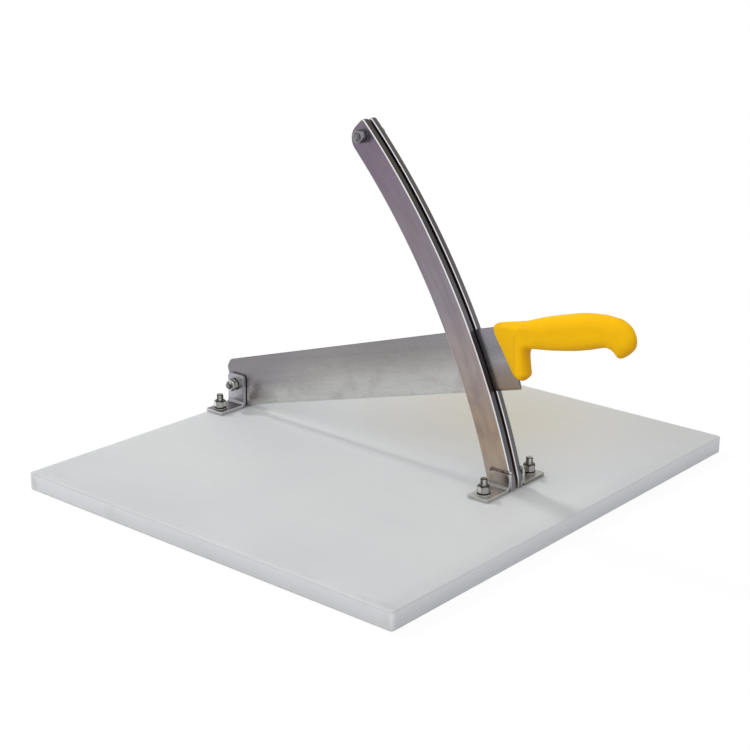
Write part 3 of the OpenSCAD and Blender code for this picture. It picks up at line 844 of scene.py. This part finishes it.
def setFasteners(name, shell, spots, finish, nodes):
    part = shell.piece(name + "Part", finish)
    if "Bolt" in name:
        runTree(part, threadRule, {
            "Pitch": bolt["pitch"] * mm, "Depth": bolt["depth"] * mm,
            "From": bolt["threadFrom"] * mm, "Core": bolt["core"] * mm, "Finish": finish})
    mesh = bpy.data.meshes.new(name)
    mesh.from_pydata([spot * mm for spot, _, _ in spots], [], [])
    aims = [value for _, aim, _ in spots for value in aim]
    mesh.attributes.new("aim", "FLOAT_VECTOR", "POINT").data.foreach_set("vector", aims)
    turns = [math.radians(turn) for _, _, turn in spots]
    mesh.attributes.new("turn", "FLOAT", "POINT").data.foreach_set("value", turns)
    made = addObject(name, mesh)
    runTree(made, fastenerSet, {"Part": part, "Finish": finish})
    bpy.data.objects.remove(part)
    seat(made, "base", "fastener", *nodes)


def spotList(nodes, turns=None, shift=0.0):  # foot fasteners stand up, the others point across
    spots = []
    for node in nodes:
        along, aim = ("up", (0, 0, 1)) if node.startswith("foot") else ("across", (0, -1, 0))
        spots.append((nodeSpot(node, along) + Vector(aim) * shift, aim, turns[node] if turns else 0))
    return spots


threadRule, fastenerSet, weldBead = threadTree(), scatterTree(), weldTree()
zincedSteel = fastenerFinish()
# the foot nuts' top cones are painted dark as shade; the cross nuts' stay light
for name, topTone, nuts in (("hexNuts", 0.95, ["foot_nut_" + place for place in places]),
                            ("crossNuts", 0.3, ["pivot_nut", "guide_nut"])):
    setFasteners(name, nutShell(topTone), spotList(nuts, nutTurns), zincedSteel, nuts)
washers = [kind + place for kind in ("foot_washer_", "foot_head_washer_") for place in places]
washers += [kind + side for kind in ("pivot_washer_", "guide_washer_") for side, _ in sides]
setFasteners("flatWashers", washerShell(), spotList(washers), zincedSteel, washers)
# the end tone is painted shade on each kind of bolt end
boltKinds = [("footBolts", ["foot_bolt_" + place for place in places], 0.6),
             ("pivotBolt", ["pivot_bolt"], 0.75), ("guideBolt", ["guide_bolt"], 0.4)]
for name, nodes, endTone in boltKinds:
    low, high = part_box(nodes[0])
    size = (high - low) / mm
    length = (size.z if nodes[0].startswith("foot") else size.y) - bolt["headHeight"]
    spots = spotList(nodes, None, bolt["headHeight"])
    setFasteners(name, boltShell(length, endTone), spots, zincedSteel, nodes)
for node in ("guide_spacer", "pivot_shim_left", "pivot_shim_right"):
    kept = frame["nodes"][node].data.materials
    kept.clear()
    kept.append(zincedSteel)
print("fasteners set")


# Weld beads on the guide's feet
weld = {"size": 1.25, "ripples": 9, "uneven": 1.1, "lump": 0.9, "rear": 143.7, "front": 168.3,
        "drop": 14, "climb": 1.4, "stand": 0.6, "lift": 0.3, "rearTail": (0.6, 3), "frontTail": 0.9,
        "seed": 3}


def weldFinish():
    finish, graph, spot, (x, _, _) = newFinish("heatedWeld")
    cloud = graph.noise(spot, 4, 3)
    fleck = graph.noise(spot, 0.8, 3)
    base = graph.layers(
        graph.ramp(cloud, (0.32, (84, 75, 70)), (0.50, (122, 109, 101)), (0.70, (152, 141, 134))),
        # painted highlight on the bead's front run down the leg
        ((x - layout["guideX"]).span(9.5, 12) * 0.8, (214, 212, 211)),
        (fleck.span(0.52, 0.72) * 0.5, (66, 58, 55)))
    graph.metal(base, 0.36 + 0.2 * (fleck - 0.5), fleck, 0.05)
    return finish


heatedWeld = weldFinish()
for side, sign in sides:
    name = "weldBead" + side.title()
    y = layout["bladeY"] + sign * (layout["slotHalf"] + bar["thick"] + weld["stand"])
    z = layout["boardTop"] + guideFoot["leg"] + weld["lift"]
    back, down = weld["rearTail"]
    path = [(weld["rear"] - back, y, z - down), (weld["rear"], y, z),
            (weld["front"], y, z + weld["climb"]), (weld["front"] + weld["frontTail"], y, z - weld["drop"])]
    mesh = bpy.data.meshes.new(name)
    links = [(i, i + 1) for i in range(len(path) - 1)]
    mesh.from_pydata([Vector(p) * mm for p in path], links, [])
    made = addObject(name, mesh)
    runTree(made, weldBead, {
        "Size": weld["size"] * mm, "Ripples": float(weld["ripples"]), "Uneven": weld["uneven"],
        "Lump": weld["lump"], "Seed": float(weld["seed"] + sign), "Finish": heatedWeld})
    seat(made, "base", "weld", "guide_weld_" + side)
print("welds laid")


# Blade
blade = {"thick": 2.5, "edgeThick": 0.4, "edgeDrop": 28, "tip": 13.2, "tipCut": 7.5, "tipEase": 2.2,
         "tipSteps": 10, "spineTip": 29.4, "spineHeel": 39.8, "shoulder": 401.9, "heel": 416.7,
         "tangLow": 20.6, "tangTop": 35.6, "tangEnd": 511.7, "bevel": 3, "soft": 0.3, "ground": 1,
         "hole": 4.05, "holeSides": 40, "lookHeight": 70}


def bladeFinish():
    finish, graph, spot, (x, y, z) = newFinish("satinBlade")
    u, w = knifeAxes(x, z)
    fine, broad, stainAndBounce = steelCore(graph, spot, u, w, y)
    tone = graph.tone()
    height = (w + blade["edgeDrop"]) / blade["lookHeight"]
    # painted reflection: the heel is warm brown low down
    heel = graph.ramp(height, (0.05, (158, 138, 122)), (0.30, (150, 141, 135)), (0.45, (159, 156, 160)),
                      (0.62, (138, 138, 142)), (0.90, (146, 141, 151)))
    # painted reflections: light near the edge and darker toward the spine, darker low near the pivot
    base = graph.layers(
        graph.ramp(height, (0.00, (226, 226, 222)), (0.30, (208, 206, 203)), (0.54, (173, 170, 168)),
                   (0.72, (152, 149, 149)), (1.00, (146, 142, 148))),
        (u.span(180, 30) * w.span(-18, 0) * 0.9, (136, 133, 138)),
        (u.span(330, 385), heel),
        (stainAndBounce.span(0.45, 0.75) * 0.25, (146, 140, 140)),
        (broad.span(0.4, 0.8) * 0.12, (122, 118, 122)),
        # painted shade on faces with tone 1: the spine, the eased edges and the hole
        (tone.span(0.6, 0.9), (98, 94, 98)),
        (fine.span(0.3, 0.8) * 0.12, (100, 96, 100)))
    rough = 0.27 + 0.16 * (broad - 0.5) + 0.1 * (fine - 0.5)
    graph.metal(base, rough, fine, 0.01)
    return finish


def insetLoop(points, insets):  # each side moves in by its own share
    count, flattest = len(points), 0.3
    moved = []
    for i in range(count):
        before, here, after = (Vector(points[(i + k) % count]) for k in (-1, 0, 1))
        first, second = (here - before).normalized(), (after - here).normalized()
        a, b = insets[i - 1], insets[i]
        cross = first.x * second.y - first.y * second.x
        normalA, normalB = Vector((-first.y, first.x)), Vector((-second.y, second.x))
        if abs(cross) < flattest:  # nearly in line: no corner to find
            moved.append(here + (normalA * a + normalB * b) / 2)
            continue
        gap = normalB * b - normalA * a
        t = (gap.x * second.y - gap.y * second.x) / cross
        moved.append(here + normalA * a + first * t)
    return moved


def bladeOutline():  # its corners, and how far each side is ground or eased
    soft, drop, bevel = blade["soft"], blade["edgeDrop"], blade["bevel"]
    rear, steps = Vector((-blade["tip"], 0)), blade["tipSteps"]
    points = [(blade["heel"], -drop), (blade["heel"], blade["tangLow"]),
              (blade["tangEnd"], blade["tangLow"]), (blade["tangEnd"], blade["tangTop"]),
              (blade["shoulder"], blade["tangTop"]), (blade["shoulder"], blade["spineHeel"]),
              (blade["tipCut"] - blade["tip"], blade["spineTip"]),
              (-blade["tip"], blade["spineTip"] - blade["tipCut"])]
    count = len(points)
    for corner in (count - 1, count - 2):  # the two corners at the top of the tip are eased
        before, here, after = (Vector(points[corner + k]) if corner + k < count else rear
                               for k in (-1, 0, 1))
        first = here + (before - here).normalized() * blade["tipEase"]
        last = here + (after - here).normalized() * blade["tipEase"]
        points[corner:corner + 1] = [tuple(p) for p in (first, (first + 2 * here + last) / 4, last)]
    insets = [soft] * len(points)
    foot = 270 - math.degrees(math.asin(blade["tip"] / drop))
    for i, point in enumerate(arc((0, 0), drop, foot, 270, steps)):
        points.append(point)
        insets.append(soft + (bevel - soft) * min(1, (i + 1) / steps))
    return points, insets


def makeBlade():
    shell = Shell()
    points, insets = bladeOutline()
    inner = insetLoop(points, insets)
    soft, half, thin = blade["soft"], blade["thick"] / 2, blade["edgeThick"] / 2
    shares = [1 - (inset - soft) / (blade["bevel"] - soft) for inset in insets]
    rise = [thin + (half - soft - thin) * share for share in shares]
    rise = [min(rise[i], rise[i - 1]) for i in range(len(rise))]
    full = [half] * len(inner)

    def level(loop, heights, sign):
        return shell.ring([knifePoint(u, w, sign * h) for (u, w), h in zip(loop, heights)])

    rings = [level(inner, full, -1), level(points, rise, -1), level(points, rise, 1), level(inner, full, 1)]
    for first, second in zip(rings, rings[1:]):
        for i in range(len(first)):
            j = (i + 1) % len(first)
            # painted shade: all but the ground edge take tone 1
            tone = 0.4 if insets[i] > blade["ground"] else 1.0
            shell.face([first[i], first[j], second[j], second[i]], tone)
    holes = [shell.ring([knifePoint(u, w, y) for u, w in circle(0, 0, blade["hole"], blade["holeSides"])])
             for y in (-half, half)]
    shell.bridge(holes[0], holes[1], 1.0)
    shell.fill([rings[0], holes[0]], lambda p: knifeAxes(p.x, p.z))
    shell.fill([rings[-1], holes[1]], lambda p: knifeAxes(p.x, p.z))
    seat(shell.piece("satinBlade", bladeFinish()), "knife", "blade", "blade")


makeBlade()
print("blade ground")


# Handle: its side outline is blown up to a moulded grip
handle = {"top": 43.8, "gripLow": 8.4, "guardLow": -18.8, "hookLow": -2.4, "length": 166,
          "gripHeight": 37.4, "crown": 2, "step": 4, "bolsterHalf": 10, "gripHalf": 12.5, "gap": 5}
moulding = {"spacing": 1.25, "rings": 11, "deepest": 8, "between": 12, "smoothing": 2, "grid": 1.7,
            "gridGap": 0.8, "crowding": 0.45, "nearness": 0.96, "sharpAngle": 70,
            "bolsterRound": 9.5, "gripRound": 15, "roundFrom": 436.5, "roundTo": 464.5, "power": 2.15,
            "lip": 3.8, "facetRise": 5.4, "facetEnd": 452.5, "facetSoft": 0.35, "facetLeast": 0.2,
            "crease": 420.1925, "creaseLean": 0.225, "creaseGap": 2, "creaseLine": 0.4925,
            "roofSlope": 0.92, "roofRound": 2.2, "roofSoft": 0.8, "roofLift": 30,
            "roofFrom": 430.5, "roofTo": 454.5, "shadeAhead": 0.8, "shadeBelow": 0.55,
            "shadeFrom": 0.15, "shadeTo": 0.95}


def bolsterFront(w):  # the front follows the guide bars when the knife is down
    outer = guideArc["radius"] + bar["width"] / 2
    reach = math.sqrt(outer ** 2 - (pivot.z + w - guideArc["centreZ"]) ** 2)
    return guideArc["centreX"] + reach - pivot.x + handle["gap"]


def creaseAt(w):  # where the bolster's slanting face ends
    return moulding["crease"] + moulding["creaseLean"] * w


def blendRow(a, b, c, d, t):  # smooth curve through four stations, from b to c
    return [(2 * q + (r - p) * t + (2 * p - 5 * q + 4 * r - s) * t * t
             + (3 * q - p - 3 * r + s) * t ** 3) / 2 for p, q, r, s in zip(a, b, c, d)]


def handleStations():  # along the edge, underside, top, half thickness
    top, low, guard, hook = handle["top"], handle["gripLow"], handle["guardLow"], handle["hookLow"]
    length, high, crown, step = handle["length"], handle["gripHeight"], handle["crown"], handle["step"]
    noseLow = blade["spineHeel"] - 2 * step
    nose, guardFront = bolsterFront(noseLow), bolsterFront(guard)
    guardDrop, hookDrop = low - guard, low - hook
    bolster, grip = handle["bolsterHalf"], handle["gripHalf"]
    guardBack = guardFront + 0.099 * length
    finger = guardBack + 0.03 * length
    waist = finger + 0.027 * length

    def fall(u):  # from the guard to the waist the top falls evenly
        return top - step / 5 * (u - guardFront) / (waist - guardFront)

    neck = [
        (guardFront + 0.045 * length, guard),
        (guardBack - 0.028 * length, guard + 0.05 * guardDrop),
        (guardBack, guard + 0.17 * guardDrop),
        (guardBack + 0.006 * length, low - 0.55 * guardDrop),
        (guardBack + 0.011 * length, low - 0.33 * guardDrop),
        (finger - 0.014 * length, low - 0.09 * guardDrop),
        (finger, low + 0.08 * high),
        (waist, low + 0.14 * high),
    ]
    return [
        (nose, noseLow, blade["spineHeel"] + step / 2, bolster),
        (bolsterFront(noseLow / 2), noseLow / 2, top, bolster),
        (bolsterFront(guard / 2), guard / 2, top, bolster),
        (guardFront, guard + 0.18 * guardDrop, top, bolster),
        *[(u, under, fall(u), bolster) for u, under in neck],
        (nose + 0.4 * length, low + 0.06 * high, top + 0.7 * crown, 0.94 * grip),
        (nose + 0.57 * length, low, top + crown, grip),
        (nose + 0.68 * length, low, top + 0.8 * crown, 0.98 * grip),
        (nose + 0.79 * length, low + 0.02 * high, top - 0.03 * high, 0.95 * grip),
        (nose + 0.84 * length, low - 0.3 * hookDrop, top - 0.08 * high, 0.93 * grip),
        (nose + 0.87 * length, hook, top - 0.13 * high, 0.9 * grip),
        (nose + 0.92 * length, hook + 0.14 * hookDrop, top - 0.21 * high, 0.86 * grip),
        (nose + 0.962 * length, low - 0.5 * hookDrop, top - 0.35 * high, 0.78 * grip),
        (nose + 0.985 * length, low - 0.19 * hookDrop, top - 0.48 * high, 0.72 * grip),
        (nose + length, low + 0.11 * high, top - 0.68 * high, 0.66 * grip),
    ]


def evenLoop(points, spacing):
    closed = np.vstack([points, points[:1]])
    run = np.concatenate([[0], np.cumsum(np.linalg.norm(np.diff(closed, axis=0), axis=1))])
    marks = np.linspace(0, run[-1], int(run[-1] / spacing), endpoint=False)
    return np.stack([np.interp(marks, run, closed[:, k]) for k in (0, 1)], axis=1)


def lineDistance(points, loop):  # shortest way from each point to the outline
    start, end = loop, np.roll(loop, -1, axis=0)
    along = end - start
    offset = points[:, None, :] - start[None]
    share = np.clip((offset * along[None]).sum(2) / (along ** 2).sum(1)[None], 0, 1)
    return np.linalg.norm(offset - share[..., None] * along[None], axis=2).min(1)


def softLess(a, b, reach):  # the lesser of two, eased where they meet
    share = np.clip(0.5 + 0.5 * (b - a) / reach, 0, 1)
    return b * (1 - share) + a * share - reach * share * (1 - share)


def ease(value, low, high):
    share = np.clip((value - low) / (high - low), 0, 1)
    return share * share * (3 - 2 * share)


def handleHalf(points, gap, rows):  # half thickness at each point of the side outline
    u, w = points[:, 0], points[:, 1]
    half = np.interp(u, rows[:, 0], rows[:, 3])
    start, power = moulding["bolsterRound"], moulding["power"]
    reach = start + (moulding["gripRound"] - start) * ease(u, moulding["roundFrom"], moulding["roundTo"])
    share = np.clip(gap / reach, 0, 1)
    full = half * (1 - (1 - share) ** power) ** (1 / power)
    front = np.array([bolsterFront(value) for value in w])
    slant = (u - front) / np.maximum(creaseAt(w) - front, moulding["creaseGap"])
    facet = np.maximum(moulding["lip"] + moulding["facetRise"] * slant, moulding["facetLeast"])
    full = np.where(u < moulding["facetEnd"], softLess(full, facet, moulding["facetSoft"]), full)
    below = np.maximum(np.interp(u, rows[:, 0], rows[:, 2]) - w, 0)
    bend = moulding["roofRound"]
    roof = np.sqrt((below / moulding["roofSlope"] + bend) ** 2 - bend ** 2)
    roof = roof + moulding["roofLift"] * ease(u, moulding["roofFrom"], moulding["roofTo"])
    return np.minimum(softLess(full, roof, moulding["roofSoft"]), full)


def handleFinish():
    finish, graph, spot, (x, _, z) = newFinish("mouldedYellow")
    u, w = knifeAxes(x, z)
    # painted shade along the bolster's crease
    crease = (u - creaseAt(w) + moulding["creaseLine"]).to("ABSOLUTE").span(1.3, 0.2) * w.span(33, 29)
    cloud = graph.noise(spot, 26, 3)
    sand = graph.noise(spot, 0.55, 2)
    rub = graph.noise(spot, 7, 4)
    deep = (graph.tone() * 0.6).to("MAXIMUM", crease * 0.3)  # painted shade below and behind, and along the crease
    base = graph.layers(
        graph.mix(cloud.span(0.3, 0.7), (249, 192, 9), (245, 186, 11)),
        (rub.span(0.55, 0.8) * 0.3, (238, 177, 12)),
        (deep, (196, 132, 16)))
    rough = 0.48 + 0.14 * (rub - 0.5) + 0.08 * (sand - 0.5)
    graph.coat({"Base Color": base, "Roughness": rough, "Specular IOR Level": 0.08}, sand, 0.02)
    return finish


def handleRows():  # the stations, joined by smooth curves
    stations = handleStations()
    last, between = len(stations) - 1, moulding["between"]
    rows = []
    for i in range(last):
        near = [stations[max(0, min(last, i + k))] for k in (-1, 0, 1, 2)]
        rows += [blendRow(*near, k / between) for k in range(between)]
    return np.array(rows + [stations[-1]])


def handleLoop(rows):  # the side outline, evenly divided
    loop = evenLoop(np.vstack([rows[:, [0, 2]], rows[::-1][:, [0, 1]]]), moulding["spacing"])
    for _ in range(moulding["smoothing"]):
        loop = (np.roll(loop, 1, axis=0) + 2 * loop + np.roll(loop, -1, axis=0)) / 4
    return loop


def handlePoints(loop):  # rings inside the outline, close at the rim, then a plain grid
    ahead = np.roll(loop, -1, axis=0) - np.roll(loop, 1, axis=0)
    inward = np.stack([ahead[:, 1], -ahead[:, 0]], axis=1) / np.linalg.norm(ahead, axis=1)[:, None]
    points, deepest, rings = [loop], moulding["deepest"], moulding["rings"]
    for k in range(1, rings):
        deep = deepest * (1 - math.cos(math.pi / 2 * k / (rings - 1)))
        ring = loop + inward * deep
        ring = ring[lineDistance(ring, loop) > moulding["nearness"] * deep]
        kept = []
        for point in ring:  # drop points that crowd where the ring tightens
            crowd = moulding["crowding"] * moulding["spacing"]
            if not kept or np.linalg.norm(point - kept[-1]) > crowd:
                kept.append(point)
        points.append(np.array(kept))
    across, up = (np.arange(low, high, moulding["grid"]) for low, high in zip(loop.min(0), loop.max(0)))
    grid = np.array([(u, w) for u in across for w in up])
    points.append(grid[lineDistance(grid, loop) > deepest + moulding["gridGap"]])
    return np.vstack(points)


def makeHandle():
    rows = handleRows()
    loop = handleLoop(rows)
    edges = [(i, (i + 1) % len(loop)) for i in range(len(loop))]
    result = delaunay_2d_cdt([Vector(p) for p in handlePoints(loop)], edges, [], 1, flatGap)
    flat = np.array([tuple(p) for p in result[0]])
    gap = lineDistance(flat, loop)
    rim = gap < 100 * flatGap
    thick = handleHalf(flat, gap, rows)
    shell = Shell()
    near = shell.ring([knifePoint(u, w, -t) for (u, w), t in zip(flat, thick)])
    far = shell.ring([knifePoint(u, w, t) for (u, w), t in zip(flat, thick)])
    far = [a if edge else b for a, b, edge in zip(near, far, rim)]
    for corners in result[2]:
        shell.face([near[i] for i in corners])
        shell.face([far[i] for i in corners])
    for i in np.nonzero(rim)[0]:
        shell.points[near[i]] = knifePoint(flat[i][0], flat[i][1])
    used = sorted({index for corners in shell.faces for index in corners})
    order = {index: i for i, index in enumerate(used)}
    shell.points = [shell.points[index] for index in used]
    shell.faces = [[order[index] for index in corners] for corners in shell.faces]
    # painted shade: faces turned ahead and down take a higher tone
    for i, corners in enumerate(shell.faces):
        a, b, c = (shell.points[index] for index in corners[:3])
        facing = (b - a).cross(c - a).normalized()
        facing *= math.copysign(1, facing.y) * (-1 if i % 2 == 0 else 1)
        shade = moulding["shadeAhead"] * facing.x - moulding["shadeBelow"] * facing.z
        shell.tones[i] = float(ease(shade, moulding["shadeFrom"], moulding["shadeTo"]))
    made = shell.piece("mouldedHandle", handleFinish(), moulding["sharpAngle"], False)
    seat(made, "knife", "handle", "handle")


makeHandle()
print("handle moulded")
